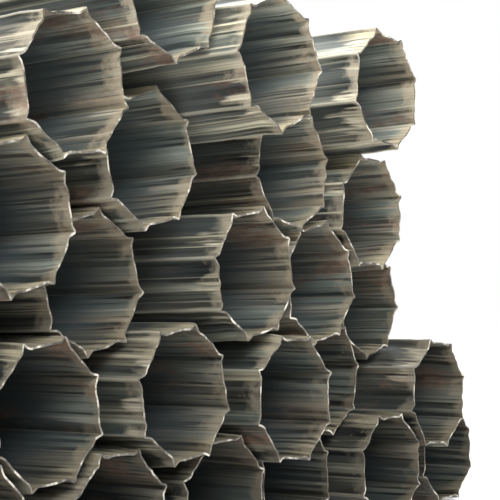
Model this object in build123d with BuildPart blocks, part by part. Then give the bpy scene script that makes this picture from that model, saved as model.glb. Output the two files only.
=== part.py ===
"""A loose stack of long steel pipes of ridged octagonal section, settled on a floor.

Each pipe is roll-formed from thin sheet: its slightly bulging faces meet in sharp
ridges. The pipes lie along Y, with their near ends roughly level, and the stack
stands on z = 0 with its middle above the origin.
"""
from build123d import *
from math import cos, radians, sin
import os

import numpy as np

# The pipe's section, in millimetres
across_ridges = 150.0
ridge_count = 8
ridge_height = 7.0
ridge_foot = 5.0
ridge_tip_width = 3.4
ridge_root_cut = 2.5
face_bulge = 0.9
wall = 2.0

# The stock, and the air between two pipes that lie on each other
pipe_length = 6000.0
contact_gap = 0.3

# How finely the settling is worked out: spacing of the points along a pipe's outline
# and across it, and the steps in which a pipe rolls, from long to short
outline_spacing = 0.25
roll_steps = (4.0, 1.0, 0.2, 0.02)

# One list a row, from the floor up. Each pipe is given by the place where it is let
# down, in pipe widths, its turn in degrees and how far its near end stands back.
rows = [
    [(-3.05, 0, 50), (-2.05, 0, 60), (-0.35, 0, 20), (0.80, 0, 15)]
    + [(1.85, 0, 15), (3.10, 0, 60), (4.15, 0, 30), (5.60, 0, 75)],
    [(-2.55, -6, 40), (-1.20, 21, 15), (0.25, 4, 20), (1.35, 8, 0), (2.30, -3, -10)]
    + [(3.60, -14, 70), (4.85, -7, 25)],
    [(-1.70, 14, 10), (-0.65, 20, 30), (0.70, 15, 35)]
    + [(2.10, 10, 0), (3.05, 10, 15), (4.35, 17, 80)],
    [(-1.10, -6, 45), (-0.10, 14, 5), (1.10, 14, 15), (2.60, -11, 5), (3.75, -4, 15)],
    [(-0.85, 11, 10), (0.35, 10, -5), (1.80, 22, -65), (3.50, 39, -30)],
    [(0.90, 24, -35)],
]

# The section before its ridges are drawn is a plain octagon: where its corners are,
# and how far each ridge's foot and face reach from the middle
corner_reach = across_ridges / 2 - ridge_height
half_pitch = 180 / ridge_count
face_reach = corner_reach * cos(radians(half_pitch))


def from_ridge(reach, aside, ridge):
    """A point of the section, by its distance along and beside a ridge's middle line."""
    angle = radians(half_pitch * (2 * ridge + 1))
    return Vector(reach * cos(angle) - aside * sin(angle), reach * sin(angle) + aside * cos(angle))


def beside_corner(distance):
    """How far along and beside the ridge's middle line a point of the plain face lies."""
    return corner_reach - distance * sin(radians(half_pitch)), distance * cos(radians(half_pitch))


tip = (across_ridges / 2, ridge_tip_width / 2)
foot = beside_corner(ridge_foot)
face_end = beside_corner(ridge_foot + ridge_root_cut)
flank = ((tip[0] - foot[0]) ** 2 + (tip[1] - foot[1]) ** 2) ** 0.5
flank_share = ridge_root_cut / flank
flank_end = (foot[0] + (tip[0] - foot[0]) * flank_share, foot[1] + (tip[1] - foot[1]) * flank_share)

# The outer outline: a ridge and the face after it, eight times round
with BuildSketch() as outline:
    with BuildLine():
        for ridge in range(ridge_count):
            Polyline(
                from_ridge(face_end[0], -face_end[1], ridge),
                from_ridge(flank_end[0], -flank_end[1], ridge),
                from_ridge(tip[0], -tip[1], ridge),
                from_ridge(tip[0], tip[1], ridge),
                from_ridge(flank_end[0], flank_end[1], ridge),
                from_ridge(face_end[0], face_end[1], ridge),
            )
            ThreePointArc(
                from_ridge(face_end[0], face_end[1], ridge),
                from_ridge(face_reach + face_bulge, 0, ridge + 0.5),
                from_ridge(face_end[0], -face_end[1], ridge + 1),
            )
    make_face()

# The sheet: the same outline with the bore taken out
with BuildSketch() as section:
    add(outline.sketch)
    offset(amount=-wall, kind=Kind.INTERSECTION, mode=Mode.SUBTRACT)

# The room that a pipe keeps for itself, half of the air on each side
with BuildSketch() as room:
    add(outline.sketch)
    offset(amount=contact_gap / 2)

room_line = room.sketch.faces()[0].outer_wire()
point_count = round(room_line.length / outline_spacing)
room_points = [room_line @ (number / point_count) for number in range(point_count)]
corner_points = list(outline.vertices())
across = np.arange(-across_ridges, across_ridges, outline_spacing)


def turned(points, turn):
    """Points of the section as two rows, sideways and up, turned by degrees."""
    sideways = np.array([p.X for p in points])
    up = np.array([p.Y for p in points])
    swing = radians(turn)
    return sideways * cos(swing) - up * sin(swing), sideways * sin(swing) + up * cos(swing)


def top_and_bottom(turn):
    """The highest and the lowest level of a turned pipe at each step across it."""
    x, z = turned(room_points, turn)
    next_x, next_z = np.roll(x, -1), np.roll(z, -1)
    run = np.where(next_x == x, 1e-9, next_x - x)
    share = (across[:, None] - x) / run
    level = np.where((share >= 0) & (share <= 1), z + share * (next_z - z), np.nan)
    crossed = ~np.isnan(level).all(axis=1)
    top = np.full(len(across), -np.inf)
    bottom = np.full(len(across), np.inf)
    top[crossed] = np.nanmax(level[crossed], axis=1)
    bottom[crossed] = np.nanmin(level[crossed], axis=1)
    return top, bottom


def rest_level(x, turn, bottom, placed):
    """How high a pipe at x lies on the floor or on the pipes already placed."""
    level = -turned(corner_points, turn)[1].min()
    for other_x, other_z, other_top in placed:
        if abs(x - other_x) < across_ridges + contact_gap:
            under = np.interp(across - (x - other_x), across, bottom, left=np.inf, right=np.inf)
            level = max(level, other_z + (other_top - under).max())
    return level


def let_down(x, turn, placed):
    """Let a pipe down at x and roll it downhill until it lies still."""
    top, bottom = top_and_bottom(turn)
    for step in roll_steps:
        z = rest_level(x, turn, bottom, placed)
        downhill = True
        while downhill:
            to_left = rest_level(x - step, turn, bottom, placed)
            to_right = rest_level(x + step, turn, bottom, placed)
            downhill = min(to_left, to_right) < z
            if downhill:
                x += step if to_right < to_left else -step
                z = min(to_left, to_right)
    placed.append((x, z, top))
    return x, z


placed = []
stack = []
for row, pipes in enumerate(rows, 1):
    for number, (place, turn, end) in enumerate(pipes, 1):
        x, z = let_down(place * across_ridges, turn, placed)
        stack.append((f"row{row}_pipe{number}", x, end, z, turn))

# The middle of the whole stack, which the origin lies under
left_side = min(x + turned(corner_points, turn)[0].min() for name, x, end, z, turn in stack)
right_side = max(x + turned(corner_points, turn)[0].max() for name, x, end, z, turn in stack)
middle_x = (left_side + right_side) / 2
ends = [end for name, x, end, z, turn in stack]
middle_y = (min(ends) + max(ends) + pipe_length) / 2

os.makedirs("parts", exist_ok=True)
for name, x, end, z, turn in stack:
    sideways = (cos(radians(turn)), 0, sin(radians(turn)))
    near_end = Plane(origin=(x - middle_x, end - middle_y, z), x_dir=sideways, z_dir=(0, -1, 0))
    with BuildPart() as pipe:
        with BuildSketch(near_end):
            add(section.sketch)
        extrude(amount=-pipe_length)
    pipe.part.label = name
    export_step(pipe.part, f"parts/{name}.step")
    print(f"{name} x {x - middle_x:.2f} y {end - middle_y:.2f} z {z:.2f} turn {turn}")
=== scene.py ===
# %% [markdown]
# # A loose stack of ridged steel pipes
# The real thing is a heap of long, thin-walled pipes lying in a stock yard. Each one is
# rolled from sheet into an octagon with a sharp ridge at every corner, and sawn off at
# both ends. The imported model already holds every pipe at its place, so this lesson
# models one pipe with care and lays a copy of it where each packed pipe lies.

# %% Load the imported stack
import math
import random

import bpy
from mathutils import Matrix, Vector


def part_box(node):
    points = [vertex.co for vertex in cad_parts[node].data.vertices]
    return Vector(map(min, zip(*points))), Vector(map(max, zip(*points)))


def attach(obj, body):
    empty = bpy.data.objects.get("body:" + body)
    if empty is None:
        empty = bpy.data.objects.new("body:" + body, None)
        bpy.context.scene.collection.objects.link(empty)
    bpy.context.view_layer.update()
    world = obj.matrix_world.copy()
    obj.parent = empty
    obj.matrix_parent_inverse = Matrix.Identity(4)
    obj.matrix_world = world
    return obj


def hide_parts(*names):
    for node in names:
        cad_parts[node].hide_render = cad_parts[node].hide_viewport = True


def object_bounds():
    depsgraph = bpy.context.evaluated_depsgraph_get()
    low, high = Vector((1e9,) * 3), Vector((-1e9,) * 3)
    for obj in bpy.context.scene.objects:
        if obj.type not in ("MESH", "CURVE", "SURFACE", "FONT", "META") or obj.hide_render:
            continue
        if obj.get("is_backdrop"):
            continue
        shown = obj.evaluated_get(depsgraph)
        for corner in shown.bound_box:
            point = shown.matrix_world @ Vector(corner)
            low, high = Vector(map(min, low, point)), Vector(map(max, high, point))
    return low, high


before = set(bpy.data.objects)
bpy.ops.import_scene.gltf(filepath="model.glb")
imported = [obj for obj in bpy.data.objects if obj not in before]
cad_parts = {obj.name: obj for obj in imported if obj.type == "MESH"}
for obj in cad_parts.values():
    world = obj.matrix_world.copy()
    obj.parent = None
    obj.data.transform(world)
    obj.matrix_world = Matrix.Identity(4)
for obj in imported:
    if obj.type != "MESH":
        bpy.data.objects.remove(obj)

cad_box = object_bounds()
pipe_names = sorted(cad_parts)
print(len(pipe_names), "pipes in the packed stack")

# %% [markdown]
# ## Sizes
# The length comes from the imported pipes. The section's own sizes are those of the real
# pipes, in metres: how far the ridge tips and the plain corners reach, how far from the
# corner a ridge has its feet, where its two flanks would meet, how round its tip and
# its roots are, how much a face bulges, and how thick the sheet is. Written once here,
# they are used by every step below.

# %% Name the sizes
low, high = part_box(pipe_names[0])
pipe_length = high.y - low.y
ridge_count = 8
tip_reach = 0.0737
corner_reach = 0.0698
ridge_foot = 0.0068
flanks_meet = 0.0751
root_rounding = 0.0025
tip_rounding = 0.00295
face_bulge = 0.0009
sheet = 0.002
half_pitch = math.pi / ridge_count
print("a pipe is", round(pipe_length, 3), "m long and", 2 * tip_reach, "m over its ridges")

# %% [markdown]
# ## Selecting by place
# Modelling by hand means clicking on edges. A script has no mouse, so it picks them by
# where they are: this helper opens a mesh for editing with just the edges selected
# whose two ends pass a test.

# %% Pick edges by a test
def open_with_edges(piece, test):
    """Open a mesh for editing with only the edges selected whose ends pass the test."""
    bpy.ops.object.mode_set(mode="OBJECT")
    mesh = piece.data
    mesh.vertices.foreach_set("select", [False] * len(mesh.vertices))
    mesh.polygons.foreach_set("select", [False] * len(mesh.polygons))
    bpy.context.tool_settings.mesh_select_mode = (False, True, False)
    chosen = 0
    for edge in mesh.edges:
        a, b = (mesh.vertices[i].co for i in edge.vertices)
        edge.select = test(a, b)
        chosen += edge.select
    bpy.ops.object.mode_set(mode="EDIT")
    return chosen


# %% [markdown]
# The tests ask three things of a point or an edge: does the edge run along the pipe,
# how far is the point from the pipe's middle line, and how far round from a ridge is
# it. Computed places are never quite equal, so two places in metres, or two angles in
# radians, count as the same when they differ by less than a small amount.

# %% Say where a point or an edge is
same_place = 1e-5
same_angle = 0.01
shortest_run = 0.001


def lengthwise(a, b):
    """True for an edge that runs along the pipe."""
    across = math.hypot(a.x - b.x, a.z - b.z)
    return abs(a.y - b.y) > shortest_run and across < same_place


def reach(point):
    """Distance of a point from the pipe's middle line."""
    return math.hypot(point.x, point.z)


def from_ridge(point):
    """Angle between a point and the nearest ridge's middle line."""
    angle = math.atan2(point.z, point.x) % (2 * half_pitch)
    return min(angle, 2 * half_pitch - angle)


print("a ridge every", math.degrees(2 * half_pitch), "degrees")

# %% [markdown]
# ## One pipe, as a skin
# A pipe could be drawn as an outline and extruded, but the ridges are the interesting
# part, and a bevel makes them quickly. An open eight-sided cylinder is the plain
# octagon. Bevelling its long edges in two steps gives every corner a foot on each side
# and a line between them, and scaling those lines outwards lifts the ridges.

# %% Start from an open octagon
bpy.ops.object.select_all(action="DESELECT")
bpy.ops.mesh.primitive_cylinder_add(
    vertices=ridge_count,
    radius=corner_reach,
    depth=pipe_length,
    end_fill_type="NOTHING",
    rotation=(math.pi / 2, 0, 0),
)
skin = bpy.context.object
skin.name = "pipe_skin"
bpy.ops.object.transform_apply(location=False, rotation=True, scale=False)
print("octagon with", len(skin.data.vertices), "corners")


# %% Lift a ridge at every corner
def on_ridge_line(a, b):
    """True for an edge along the middle of a ridge."""
    return lengthwise(a, b) and from_ridge(a) < same_angle


def scale_section(factor):
    """Scale what is selected away from the middle line, and leave its length alone."""
    bpy.ops.transform.resize(value=(factor, 1, factor), center_override=(0, 0, 0))


corner_edges = open_with_edges(skin, lengthwise)
bpy.ops.mesh.bevel(offset=ridge_foot, segments=2, affect="EDGES")
ridge_edges = open_with_edges(skin, on_ridge_line)
print(corner_edges, "corners bevelled,", ridge_edges, "ridge lines")
line_reach = max(reach(v.co) for v in skin.data.vertices if from_ridge(v.co) < same_angle)
scale_section(flanks_meet / line_reach)
bpy.ops.object.mode_set(mode="OBJECT")

# %% [markdown]
# Rolled sheet has no knife edges. The tips and the hollow roots of the ridges get small
# bevels of their own, and then the tips are pushed out again to their real reach,
# because a bevel always cuts a little off.

# %% Round the tips and the roots
open_with_edges(skin, on_ridge_line)
bpy.ops.mesh.bevel(offset=tip_rounding, segments=4, affect="EDGES")
foot_angle = math.atan2(ridge_foot * math.cos(half_pitch), corner_reach)
open_with_edges(
    skin, lambda a, b: lengthwise(a, b) and abs(from_ridge(a) - foot_angle) < same_angle
)
bpy.ops.mesh.bevel(offset=root_rounding, segments=2, affect="EDGES")
bpy.ops.object.mode_set(mode="OBJECT")
print("rounded, the section has", len(skin.data.vertices) // 2, "points")

# %% Push the tips out to their real reach
tip_depth = 0.0015
cut_reach = max(reach(v.co) for v in skin.data.vertices)
open_with_edges(skin, lambda a, b: lengthwise(a, b) and reach(a) > cut_reach - tip_depth)
scale_section(tip_reach / cut_reach)
bpy.ops.object.mode_set(mode="OBJECT")
print("the tips now reach", round((tip_reach - cut_reach) * 1000, 2), "mm further")

# %% [markdown]
# The faces aren't flat: they bulge by nearly a millimetre. The wide strips are
# subdivided across, and each pair of new lines is scaled outwards, the middle one most.

# %% Subdivide the faces
face_parts = 6
face_reach = corner_reach * math.cos(half_pitch)
half_face = face_reach * math.tan(half_pitch)
flat_half = half_face - ridge_foot - root_rounding
open_with_edges(skin, lambda a, b: abs(a.y - b.y) < same_place and (a - b).length > flat_half)
bpy.ops.mesh.subdivide(number_cuts=face_parts - 1)
print("a face is", round(2000 * flat_half, 1), "mm wide between the ridges' roots")


# %% Bulge the faces
def beside_middle(point):
    """Distance of a point from the middle of its face, along the face."""
    return reach(point) * math.sin(half_pitch - from_ridge(point))


same_line = 2e-4
for part in range(face_parts // 2):
    place = flat_half * part / (face_parts // 2)
    bulge = face_bulge * (1 - (place / half_face) ** 2)
    lines = open_with_edges(
        skin, lambda a, b: lengthwise(a, b) and abs(beside_middle(a) - place) < same_line
    )
    scale_section(1 + bulge / math.hypot(face_reach, place))
    print(lines, "lines at", round(place * 1000, 1), "mm from the middle of a face")
bpy.ops.object.mode_set(mode="OBJECT")
print("the skin's outline has", len(skin.data.vertices) // 2, "points")

# %% [markdown]
# ## Cuts across the pipe
# Dents and torn edges need points along the pipe as well, close together at the sawn
# ends and far apart in the middle. Bisecting the mesh at chosen distances from each end
# adds a ring of points at each one.

# %% Cut rings into the skin
ring_distances = [
    0.003, 0.007, 0.013, 0.021, 0.032, 0.05, 0.075, 0.11,
    0.16, 0.23, 0.34, 0.5, 0.75, 1.1, 1.6, 2.2,
]
ring_places = [pipe_length / 2 - distance for distance in ring_distances]
ring_places += [-place for place in ring_places] + [0]
for place in ring_places:
    bpy.ops.object.mode_set(mode="EDIT")
    bpy.ops.mesh.select_all(action="SELECT")
    bpy.ops.mesh.bisect(plane_co=(0, place, 0), plane_no=(0, 1, 0))
bpy.ops.object.mode_set(mode="OBJECT")
ring_count = len(ring_places) + 2
print(ring_count, "rings of", len(skin.data.vertices) // ring_count, "points")

# %% [markdown]
# ## A map of the sheet
# Streaks, rust and roll marks follow the sheet round the pipe, so the materials need
# to know where on the sheet a point is. The map has the distance round the section
# across it and the distance along the pipe up it, both in metres. Two values are kept
# besides: how far a point is from the nearer sawn end, and how near it is to a ridge.

# %% Map the sheet
girth = 2 * math.pi * corner_reach
sheet_map = skin.data.uv_layers.active or skin.data.uv_layers.new()
sheet_map.name = "sheet"
for face in skin.data.polygons:
    middle = math.atan2(face.center.z, face.center.x)
    for loop in face.loop_indices:
        co = skin.data.vertices[skin.data.loops[loop].vertex_index].co
        turn = (math.atan2(co.z, co.x) - middle + math.pi) % (2 * math.pi) - math.pi
        sheet_map.data[loop].uv = ((middle + turn) / (2 * math.pi) * girth, co.y)
print("mapped", len(skin.data.polygons), "faces, girth", round(girth, 3), "m")

# %% Keep the distance from the ends and the nearness of a ridge
ridge_depth = 0.008
from_end = skin.data.attributes.new("from_end", "FLOAT", "POINT")
ridge_nearness = skin.data.attributes.new("ridge", "FLOAT", "POINT")
for v in skin.data.vertices:
    from_end.data[v.index].value = pipe_length / 2 - abs(v.co.y)
    ridge_nearness.data[v.index].value = max(0, 1 - (tip_reach - reach(v.co)) / ridge_depth)
print("two values kept on each of", len(skin.data.vertices), "points")

# %% [markdown]
# The wear below works on the sawn ends to two depths: on the cut edge alone, and on the
# last handspan, where it fades out along the pipe. Four vertex groups hold these
# places, two at the near end, where y is lowest, and two at the far end.

# %% Mark the sawn ends
# each group: which end, -1 for the near and 1 for the far one, and its depth in metres
end_groups = {
    "near_cut": (-1, 0.001),
    "far_cut": (1, 0.001),
    "near_end": (-1, 0.13),
    "far_end": (1, 0.13),
}
fade = 1.5
for name, (side, depth) in end_groups.items():
    group = skin.vertex_groups.new(name=name)
    for v in skin.data.vertices:
        within = depth - (pipe_length / 2 - side * v.co.y)
        if within > 0:
            group.add([v.index], (within / depth) ** fade, "REPLACE")
print(len(skin.vertex_groups), "groups at the sawn ends")

# %% [markdown]
# ## Where each pipe lies
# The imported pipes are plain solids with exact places, and the finished ones take those
# places over. A pipe's middle is the middle of its box. Its turn is read from the ridge
# tips, the points farthest from that middle: eight ridges look alike, so each tip's
# angle counts eight times before the average is taken, and comes out the same for all.

# %% Read a packed pipe's middle and turn
least_tip_reach = tip_reach - 0.0005


def middle_and_turn(name):
    """The middle of a packed pipe and the angle of one of its ridges."""
    low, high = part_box(name)
    middle = (low + high) / 2
    node = bpy.data.objects[name]
    along = across = 0.0
    for v in node.data.vertices:
        spot = node.matrix_world @ v.co - middle
        if reach(spot) > least_tip_reach:
            angle = ridge_count * math.atan2(spot.z, spot.x)
            along += math.cos(angle)
            across += math.sin(angle)
    return middle, math.atan2(across, along) / ridge_count


for name in pipe_names[:3]:
    middle, turn = middle_and_turn(name)
    print(name, "lies at", [round(c, 3) for c in middle], "turned", round(math.degrees(turn), 1))

# %% [markdown]
# ## Wear: dents and torn cuts
# Thin pipes get knocked in handling. A Displace modifier with a cloud texture pushes
# the skin inwards by up to a few millimetres. It only ever pushes in, so no pipe grows
# into its neighbour. One texture is wide and shallow and acts everywhere, a second is
# tighter and only dents the last handspan, and a third moves just the cut edge along
# the pipe, because an abrasive saw leaves a wavy, torn edge on thin sheet.

# %% Make the wear textures
def cloud(name, size, depth=2, contrast=1.0):
    """A cloud texture: its blotches are about as wide as size, in metres."""
    texture = bpy.data.textures.new(name, "CLOUDS")
    texture.noise_scale = size
    texture.noise_depth = depth
    texture.contrast = contrast
    return texture


# each kind: title, texture, direction, strength in metres, unmoved level, vertex group
wear = [
    ("waviness", cloud("waviness", 0.22), "CUSTOM_NORMAL", 0.0014, 1.0, ""),
    ("near dents", cloud("near_dents", 0.05, 1, 1.7), "CUSTOM_NORMAL", 0.0036, 1.0, "near_end"),
    ("far dents", cloud("far_dents", 0.05, 1, 1.7), "CUSTOM_NORMAL", 0.0036, 1.0, "far_end"),
    ("near cut", cloud("near_cut", 0.008, 2, 1.6), "Y", 0.0026, 0.0, "near_cut"),
    ("far cut", cloud("far_cut", 0.008, 2, 1.6), "Y", -0.0026, 0.0, "far_cut"),
]
print(len(wear), "kinds of wear")


# %% [markdown]
# Displace usually works along a surface's own normals. On a ridge those point sideways,
# and the two flanks would be squeezed together. So every point gets a custom normal
# that points straight out from the middle line, and a knocked ridge keeps its shape.
# How much that normal rises tells the top of a pipe from its underside, and the
# materials need that too, so it is kept on the mesh.

# %% Point all normals away from the middle line
def aim_out(pipe, middle):
    """Give every point a normal straight out from the middle line, and keep its rise."""
    across_only = Vector((1, 0, 1))
    outwards = [((v.co - middle) * across_only).normalized() for v in pipe.data.vertices]
    pipe.data.normals_split_custom_set_from_vertices(outwards)
    rise = pipe.data.attributes.new("rise", "FLOAT", "POINT")
    rise.data.foreach_set("value", [outward.z for outward in outwards])


# %% [markdown]
# ## Lay the pipes
# Each pipe is a copy of the skin with a mesh of its own. It is turned so that its
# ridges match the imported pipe's, plus a whole number of ridges by chance, so that no two
# show the same streaks. Its place goes into its mesh before the wear is added, and the
# wear is different on each because the textures stay still while the pipes don't.
#
# For streaks of its own, each copy also gets another stretch of the sheet map: it is
# moved by chance along a coil of sheet, and by a seventh of that across it.

# %% Copy the skin to a pipe's place
coil_length = 40
along_for_across = 7


def place_copy(name, middle, turn, chance):
    """A copy of the skin at a packed pipe's place, on a stretch of sheet of its own."""
    bpy.ops.object.select_all(action="DESELECT")
    pipe = skin.copy()
    pipe.data = skin.data.copy()
    pipe.name = name + "_steel"
    bpy.context.collection.objects.link(pipe)
    pipe.select_set(True)
    bpy.context.view_layer.objects.active = pipe
    along = chance.uniform(0, coil_length)
    for loop in pipe.data.uv_layers["sheet"].data:
        loop.uv = (loop.uv[0] + along / along_for_across, loop.uv[1] + along)
    pipe.rotation_euler = (0, -turn - 2 * half_pitch * chance.randrange(ridge_count), 0)
    pipe.location = middle
    bpy.ops.object.transform_apply(location=True, rotation=True, scale=False)
    bpy.ops.object.shade_smooth()
    return pipe


# %% [markdown]
# Solidify comes last and gives the skin the sheet's thickness, inwards, with one
# material outside, one inside and one on the cut edge. The cut edge stays crisp, because
# only edges that turn by less than a set angle are shaded smooth.

# %% Lay one pipe
smooth_angle = math.radians(38)


def lay_pipe(name, chance):
    """Copy the skin to a packed pipe's place, wear it and give it its thickness."""
    middle, turn = middle_and_turn(name)
    pipe = place_copy(name, middle, turn, chance)
    aim_out(pipe, middle)
    for title, texture, direction, strength, level, group in wear:
        knock = pipe.modifiers.new(title, "DISPLACE")
        knock.texture = texture
        knock.texture_coords = "LOCAL"
        knock.direction = direction
        knock.strength = strength
        knock.mid_level = level
        knock.vertex_group = group
        bpy.ops.object.modifier_apply(modifier=title)
    bpy.ops.mesh.customdata_custom_splitnormals_clear()
    wall = pipe.modifiers.new("wall", "SOLIDIFY")
    wall.thickness = sheet
    wall.offset = -1
    wall.use_quality_normals = True
    wall.material_offset = 1
    wall.material_offset_rim = 2
    bpy.ops.object.modifier_apply(modifier="wall")
    bpy.ops.object.shade_smooth_by_angle(angle=smooth_angle)
    return pipe


# %% [markdown]
# ## Materials
# All three finishes are bare mild steel that has stood outdoors. The outside keeps its dull grey
# mill skin, with pale bands where the rollers polished it and brown blooms of rust. The inside has
# calmer bands, painted paler than the outside, and turns to an even slate a hand's width in,
# painted shade deep in the pipe. The cut edge is paler than both, and uneven.
#
# Each is one Principled shader fed by noise on the sheet map. Stretching the noise
# along the pipe by the Mapping node turns blotches into roll marks, and adding bump
# from the same streaks makes the light break along them.

# %% Start a material
def new_material(name):
    """An empty node material with a Principled shader."""
    material = bpy.data.materials.new(name)
    material.use_nodes = True
    tree = material.node_tree
    return material, tree, tree.nodes["Principled BSDF"]


def linear(code):
    """A colour written as six hex digits, as the shader wants it."""
    parts = [int(code[i:i + 2], 16) / 255 for i in (0, 2, 4)]
    return tuple(p / 12.92 if p < 0.04 else ((p + 0.055) / 1.055) ** 2.4 for p in parts)


print("a middle grey is", round(linear("808080")[0], 3), "to the shader")

# %% [markdown]
# A pattern is noise on the sheet map, or a value kept on the mesh. The noise is given by
# its waves a metre, round the pipe and along it: 190 and 3 draw marks a few millimetres
# wide and a third of a metre long. A shift sets one pattern apart from the others.

# %% Read a pattern
def noise(tree, waves, detail, rough=0.5, shift=(0, 0)):
    """Noise on the sheet map, with its waves a metre round the pipe and along it."""
    sheet_uv = tree.nodes.new("ShaderNodeUVMap")
    sheet_uv.uv_map = "sheet"
    mapping = tree.nodes.new("ShaderNodeMapping")
    mapping.inputs["Scale"].default_value = (*waves, 1)
    mapping.inputs["Location"].default_value = (*shift, 0)
    pattern = tree.nodes.new("ShaderNodeTexNoise")
    pattern.inputs["Scale"].default_value = 1
    pattern.inputs["Detail"].default_value = detail
    pattern.inputs["Roughness"].default_value = rough
    tree.links.new(sheet_uv.outputs["UV"], mapping.inputs["Vector"])
    tree.links.new(mapping.outputs["Vector"], pattern.inputs["Vector"])
    return pattern.outputs["Fac"]


def stored(tree, name):
    """A value kept on the mesh, such as the distance from the sawn end."""
    node = tree.nodes.new("ShaderNodeAttribute")
    node.attribute_name = name
    return node.outputs["Fac"]


# %% [markdown]
# A ramp turns a pattern into colours, and a Mix node lays one colour over another. That
# node has a socket for every kind of value it can mix: of its inputs 0 is the share and
# 6 and 7 are the two colours, and its output 2 is the mixed colour.

# %% Turn patterns into colours
def ramp(tree, value, stops):
    """Turn a value into colours, or greys, at the given stops."""
    node = tree.nodes.new("ShaderNodeValToRGB")
    elements = node.color_ramp.elements
    while len(elements) < len(stops):
        elements.new(0.5)
    for element, (place, colour) in zip(elements, stops):
        element.position = place
        element.color = (*colour, 1) if isinstance(colour, tuple) else (colour,) * 3 + (1,)
    tree.links.new(value, node.inputs["Fac"])
    return node.outputs["Color"]


def mixed(tree, share, first, second, blend="MIX"):
    """Mix two colours by a share between 0 and 1."""
    node = tree.nodes.new("ShaderNodeMix")
    node.data_type = "RGBA"
    node.blend_type = blend
    for number, value in ((0, share), (6, first), (7, second)):
        socket = node.inputs[number]
        if isinstance(value, bpy.types.NodeSocket):
            tree.links.new(value, socket)
        elif isinstance(value, tuple):
            socket.default_value = (*value, 1)
        else:
            socket.default_value = value
    return node.outputs[2]


# %% [markdown]
# Patterns can also be added up, each with a weight, before they go into a ramp. That is
# how noise gives way to something else with the distance from the end. A bump makes the
# light see a pattern as relief.

# %% Add patterns up, and raise them as bump
def sum_of(tree, parts):
    """Add up values, each times its weight."""
    total = None
    for value, weight in parts:
        node = tree.nodes.new("ShaderNodeMath")
        node.operation = "MULTIPLY_ADD"
        node.inputs[1].default_value = weight
        node.inputs[2].default_value = 0
        tree.links.new(value, node.inputs[0])
        if total:
            tree.links.new(total, node.inputs[2])
        total = node.outputs[0]
    return total


def bumped(tree, shader, height, distance):
    """Give the shader a bump of the given height in metres."""
    node = tree.nodes.new("ShaderNodeBump")
    node.inputs["Distance"].default_value = distance
    node.inputs["Strength"].default_value = 1
    tree.links.new(height, node.inputs["Height"])
    tree.links.new(node.outputs["Normal"], shader.inputs["Normal"])


# %% [markdown]
# The mill finish is built up as it looks close to, one layer over the last. The lowest
# is broad bands from dark to pale, in a tint that wanders between slate, olive and tan.
# In every layer the stops of a ramp say at which level of its pattern it begins and at
# which it is full.

# %% Bands along the pipe
def banded(tree, bands, tones):
    """Broad bands from dark to pale, in a wandering tint."""
    places = (0.36, 0.45, 0.54, 0.64)
    base = ramp(tree, bands, [(place, linear(code)) for place, code in zip(places, tones)])
    slate, olive, tan = (0.85, 0.99, 1.05), (0.97, 1.0, 0.97), (1.08, 0.98, 0.88)
    wander = noise(tree, (22, 1.5), 2, 0.5, (5, 7))
    tint = ramp(tree, wander, [(0.36, slate), (0.5, olive), (0.64, tan)])
    return mixed(tree, 1.0, base, tint, "MULTIPLY")


# %% [markdown]
# Near the sawn ends come cream scuff marks, partly a painted highlight that fades along the pipe,
# and painted light on the lips that face up, as if the sky lit them. A lip faces up outside at the
# top of the pipe, and inside at the bottom. The rise that the mesh keeps tells the two apart, and
# the finish's side is 1 for the outside and -1 for the inside.

# %% Scuff marks, painted highlight and painted light near the sawn ends
def scuffed_and_lit(tree, base, pale, scuff_highlight_start, side):
    """Cream scuff marks near the sawn ends, partly a painted highlight, and painted light on the
    lips that face up.
    """
    blotches = noise(tree, (46, 6), 3, 0.6, (12, 3))
    # cream scuff marks, partly a painted highlight that fades away from the sawn end
    scuffs_and_highlight = sum_of(tree, [(blotches, 1.0), (stored(tree, "from_end"), -2.5)])
    scuffs_and_highlight = ramp(tree, scuffs_and_highlight, [(scuff_highlight_start, 0.0), (scuff_highlight_start + 0.05, 0.85)])
    base = mixed(tree, scuffs_and_highlight, base, pale)
    # painted light: the lips that face up are painted pale, as if the sky lit them
    facing_up = (stored(tree, "rise"), side / 2)
    near_end = (stored(tree, "from_end"), -4.0)
    streaky = (noise(tree, (90, 12), 4, 0.65, (14, 5)), 0.4)
    lip_light = ramp(tree, sum_of(tree, [facing_up, near_end, streaky]), [(0.47, 0.0), (0.62, 0.78)])
    return mixed(tree, lip_light, base, linear("b9ae90"))


# %% [markdown]
# The rollers leave dark marks of four widths, from a broad shadow to a fine line, and a
# few shiny ones.

# %% Roll marks
# each kind: waves a metre, detail, roughness, shift, stops, share
roll_marks = [
    ((85, 1.2), 1, 0.4, (2, 4), [(0.4, 0.5), (0.42, 1.0)], 0.9),
    ((190, 3), 1, 0.4, (11, 3), [(0.42, 0.2), (0.445, 1.0)], 0.9),
    ((270, 0.4), 0, 0.5, (3, 9), [(0.3, 0.35), (0.33, 1.0)], 0.9),
    ((520, 1.6), 2, 0.5, (8, 6), [(0.36, 0.6), (0.5, 1.0), (0.64, 1.2)], 0.8),
]


def marked(tree, base, pale):
    """Dark roll marks of four widths, and a few shiny ones."""
    for waves, detail, rough, shift, stops, share in roll_marks:
        marks = ramp(tree, noise(tree, waves, detail, rough, shift), stops)
        base = mixed(tree, share, base, marks, "MULTIPLY")
    lines = noise(tree, (170, 0.5), 1, 0.4, (6, 8))
    return mixed(tree, ramp(tree, lines, [(0.66, 0.0), (0.69, 0.6)]), base, pale)


print(len(roll_marks), "kinds of roll marks")

# %% [markdown]
# Further along the pipe, away from the sawn ends, one even tone takes over from all of these. It
# is painted shade: a dark slate deep inside a pipe, and outside a grey that lifts the shade
# between pipes. The ridges are rubbed pale where pipes slide on each other, and near a sawn end
# the heat and the rain have left a tan border.

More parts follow.
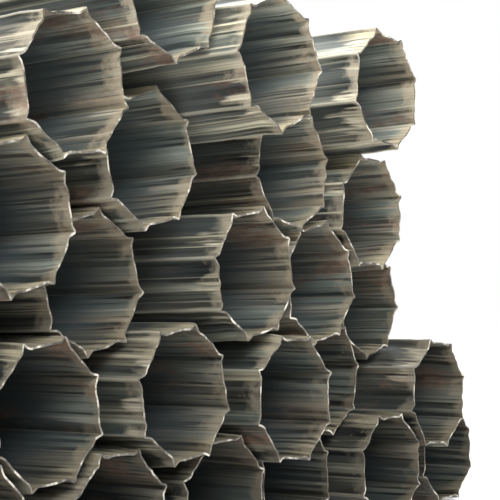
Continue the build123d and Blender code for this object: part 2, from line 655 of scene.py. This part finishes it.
# %% Painted shade in depth, ridges and border
def shaded_in_depth(tree, base, depth_shade_tone, depth_shade_share):
    """Painted shade: one even tone that takes over with the distance from the sawn end."""
    edge = noise(tree, (60, 8), 3, 0.6, (9, 2))
    # painted shade: deeper in the pipe, where less light reaches, the sheet takes one even tone
    depth = sum_of(tree, [(stored(tree, "from_end"), 7.0), (edge, 0.8)])
    depth = ramp(tree, depth, [(0.5, 0.0), (1.0, depth_shade_share)])
    return mixed(tree, depth, base, linear(depth_shade_tone))


def rubbed(tree, base, streaks):
    """Pale ridges, rubbed in streaks."""
    touched = sum_of(tree, [(stored(tree, "ridge"), 0.75), (streaks, 0.5)])
    return mixed(tree, ramp(tree, touched, [(0.85, 0.0), (1.0, 0.7)]), base, linear("a9a494"))


def border_of(tree):
    """How much of the tan border shows, for its colour, gloss and metal alike."""
    edge = noise(tree, (45, 40), 4, 0.65)
    near_end = sum_of(tree, [(stored(tree, "from_end"), 11.0), (edge, 1.0)])
    return ramp(tree, near_end, [(0.54, 0.62), (0.69, 0.0)])


# %% [markdown]
# Low in the pile the steel is painted darker, and high up paler: painted shade and painted glare
# by height. Rust blooms over everything, a little more on the sheltered side, which faces down:
# under the pipe outside, and under its roof inside.

# %% Painted shade by height, and rust
def height_shade_of(tree):
    """Painted shade and glare: how much darker or paler the steel is painted, by the height in
    metres.
    """
    height = tree.nodes.new("ShaderNodeSeparateXYZ")
    place = tree.nodes.new("ShaderNodeTexCoord")
    tree.links.new(place.outputs["Object"], height.inputs["Vector"])
    # painted shade low in the pile, painted glare high up
    levels = [(0.08, 0.45), (0.22, 0.78), (0.32, 1.1), (0.55, 1.75)]
    return ramp(tree, height.outputs["Z"], levels)


def rust_of(tree, rust_spots, rust_start, side):
    """How much rust shows, more where the sheet faces down."""
    sheltered = sum_of(tree, [(rust_spots, 1.0), (stored(tree, "rise"), -0.07 * side)])
    return ramp(tree, sheltered, [(rust_start, 0.0), (rust_start + 0.1, 0.75)])


# %% [markdown]
# The layers now go onto one shader. The border and the rust are duller and less
# metallic than the mill skin, so they also steer its roughness and its metal, and the
# same bands, streaks and spots that colour the sheet raise its bump.

# %% Draw the rolled steel
def rolled_steel(
    name, side, tones, depth_shade_tone, depth_shade_share, scuff_highlight_start, rusts, rust_start, border_tone, metallic
):
    """Streaked mill finish: bands from dark to pale along the pipe, roll marks and rust, with
    painted shade and painted highlights.
    """
    material, tree, shader = new_material(name)
    bands = noise(tree, (40, 0.3), 4, 0.55)
    streaks = noise(tree, (300, 1.6), 3, 0.6, (3, 1))
    rust_spots = noise(tree, (17, 5), 6, 0.68, (4, 9))
    pale = linear(tones[-1])
    base = banded(tree, bands, tones)
    # scuff marks with a painted highlight near the ends, and painted light on the lips that face
    # up
    base = scuffed_and_lit(tree, base, pale, scuff_highlight_start, side)
    base = marked(tree, base, pale)
    # painted shade, deeper in from the sawn ends
    base = shaded_in_depth(tree, base, depth_shade_tone, depth_shade_share)
    base = rubbed(tree, base, streaks)
    border = border_of(tree)
    base = mixed(tree, border, base, linear(border_tone))
    # painted shade low in the pile and painted glare high up
    base = mixed(tree, 1.0, base, height_shade_of(tree), "MULTIPLY")
    rust = rust_of(tree, rust_spots, rust_start, side)
    dark_rust, light_rust = (linear(code) for code in rusts)
    crust = noise(tree, (160, 60), 4, 0.65)
    rust_colour = ramp(tree, crust, [(0.35, dark_rust), (0.65, light_rust)])
    tree.links.new(mixed(tree, rust, base, rust_colour), shader.inputs["Base Color"])
    gloss = ramp(tree, streaks, [(0.3, 0.36), (0.7, 0.52)])
    gloss = mixed(tree, border, gloss, (0.6,) * 3)
    tree.links.new(mixed(tree, rust, gloss, (0.85,) * 3), shader.inputs["Roughness"])
    metal = mixed(tree, border, (metallic,) * 3, (metallic / 2,) * 3)
    tree.links.new(mixed(tree, rust, metal, (0.05,) * 3), shader.inputs["Metallic"])
    grain = noise(tree, (1100, 40), 2, 0.5, (7, 2))
    relief = sum_of(tree, [(bands, 0.5), (streaks, 0.3), (grain, 0.1), (rust_spots, 0.3)])
    bumped(tree, shader, relief, 0.001)
    return material


# %% Finish the outside and the inside
outside = rolled_steel(
    "mill_steel_outside",
    side=1,
    tones=("2f3333", "444743", "5d5d54", "c0b8a2"),
    depth_shade_tone="5c5f5c",
    depth_shade_share=0.55,
    scuff_highlight_start=0.5,
    rusts=("4c362b", "7b5c4b"),
    rust_start=0.59,
    border_tone="8f8573",
    metallic=0.3,
)
# painted light: the inside's tones are paler than the outside's, to make up for the shade inside a
# pipe
inside = rolled_steel(
    "mill_steel_inside",
    side=-1,
    tones=("696a62", "74746a", "807c71", "a0998a"),
    depth_shade_tone="4a5355",
    depth_shade_share=0.85,
    scuff_highlight_start=0.57,
    rusts=("4e3a2e", "7b604e"),
    rust_start=0.57,
    border_tone="948772",
    metallic=0.25,
)
print("two rolled finishes with", len(outside.node_tree.nodes), "nodes each")

# %% [markdown]
# The cut edge is newer metal: paler than the sheet on either side and uneven, because
# the saw tears as much as it cuts.

# %% Draw the cut edge
cut_edge, tree, shader = new_material("cut_edge")
torn = noise(tree, (50, 50), 4, 0.65)
fresh_tones = [(0.38, linear("3a3731")), (0.52, linear("68635a")), (0.64, linear("c4beb2"))]
tree.links.new(ramp(tree, torn, fresh_tones), shader.inputs["Base Color"])
shader.inputs["Metallic"].default_value = 0.15
shader.inputs["Roughness"].default_value = 0.5
bumped(tree, shader, noise(tree, (1500, 1500), 2), 0.0004)
for finish in (outside, inside, cut_edge):
    skin.data.materials.append(finish)
print("the skin carries", len(skin.data.materials), "finishes")

# %% [markdown]
# With the skin, the wear and the finishes ready, the whole stack is laid. The seed of
# the chance is fixed, so every run lays the same stack. Each finished pipe takes over
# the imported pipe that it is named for.

# %% Lay the whole stack
chance = random.Random(31)
pipes = []
for name in pipe_names:
    pipe = lay_pipe(name, chance)
    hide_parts(name)
    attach(pipe, "root")
    pipes.append(pipe)
bpy.data.objects.remove(skin)
triangles = sum(len(face.vertices) - 2 for pipe in pipes for face in pipe.data.polygons)
print(len(pipes), "pipes laid,", triangles, "triangles")

# %% [markdown]
# ## Floor, light and camera
# The stack stands on a pale floor in a white room. A soft world light fills the open
# ends of the pipes. The strongest lamp stands high in front and shines into them, and
# two more, high on the left and on the right, give the upper faces their sheen. The
# camera looks along the sawn ends from the left, with a long lens, nearly level.

# %% Lay the floor
bpy.ops.object.select_all(action="DESELECT")
bpy.ops.mesh.primitive_plane_add(size=60, location=(0, 0, 0))
floor = bpy.context.object
floor.name = "pale_floor"
floor_finish, _, floor_shader = new_material("pale_floor")
floor_shader.inputs["Base Color"].default_value = (0.88, 0.88, 0.87, 1)
floor_shader.inputs["Roughness"].default_value = 0.9
floor.data.materials.append(floor_finish)
floor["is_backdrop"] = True
print("a floor", floor.dimensions.x, "m wide")

# %% [markdown]
# The room has to look plain white, while the soft light that it gives is a little
# stronger and cooler. So the world is mixed from two backgrounds by what kind of ray
# asks: the eye, a mirror and a pane of glass see the white one, and everything else is
# lit by the soft one.

# %% White room
world = bpy.data.worlds.new("white_room")
bpy.context.scene.world = world
world.use_nodes = True
nodes, links = world.node_tree.nodes, world.node_tree.links
nodes.clear()
rays = nodes.new("ShaderNodeLightPath")


def either(first, second):
    """One if either of two ray tests is one."""
    node = nodes.new("ShaderNodeMath")
    node.operation = "MAXIMUM"
    links.new(first, node.inputs[0])
    links.new(second, node.inputs[1])
    return node.outputs[0]


def background(colour, strength):
    """A world background of one colour."""
    node = nodes.new("ShaderNodeBackground")
    node.inputs["Color"].default_value = (*colour, 1)
    node.inputs["Strength"].default_value = strength
    return node.outputs[0]


seen = either(rays.outputs["Is Camera Ray"], rays.outputs["Is Transmission Ray"])
choice = nodes.new("ShaderNodeMixShader")
links.new(either(seen, rays.outputs["Is Glossy Ray"]), choice.inputs[0])
links.new(background((0.97, 0.98, 1.0), 1.2), choice.inputs[1])
links.new(background((1, 1, 1), 1), choice.inputs[2])
links.new(choice.outputs[0], nodes.new("ShaderNodeOutputWorld").inputs["Surface"])
print("the white room has", len(nodes), "nodes")


# %% Hang the lamps
def lamp(name, place, aim, size, power, colour):
    """A square area lamp that points at a spot."""
    bpy.ops.object.light_add(type="AREA", location=place)
    light = bpy.context.object
    light.name = name
    light.data.size = size
    light.data.energy = power
    light.data.color = colour
    light.rotation_euler = (Vector(aim) - Vector(place)).to_track_quat("-Z", "Y").to_euler()
    return light


lamps = [
    lamp("high_left", (-4.5, -4.5, 5.0), (0, -2.8, 0.4), 3.0, 190, (1.0, 0.99, 0.96)),
    lamp("front", (-2.5, -7.0, 4.2), (0, -3, 0.3), 2.5, 380, (0.95, 0.98, 1.0)),
    lamp("high_right", (5, 2, 5.0), (0, 0, 0.4), 4.0, 220, (1.0, 0.99, 0.97)),
]
print(len(lamps), "lamps of", sum(light.data.energy for light in lamps), "W in all")

# %% Place the camera
bpy.ops.object.camera_add(location=(-1.071, -3.895, 0.262))
camera = bpy.context.object
camera.rotation_euler = (math.radians(92.44), math.radians(0.94), math.radians(-53.06))
camera.data.sensor_width = 36
camera.data.lens = 104
bpy.context.scene.camera = camera
bpy.context.scene.view_settings.view_transform = "Standard"
print("camera with a", round(camera.data.lens), "mm lens")

# %% [markdown]
# ## The size of the stack
# The finished stack must stay inside the imported one's box. Both boxes are printed.

# %% Print both boxes
visual_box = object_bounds()
for title, box in (("packed", cad_box), ("finished", visual_box)):
    print(title, [[round(c, 4) for c in corner] for corner in box])
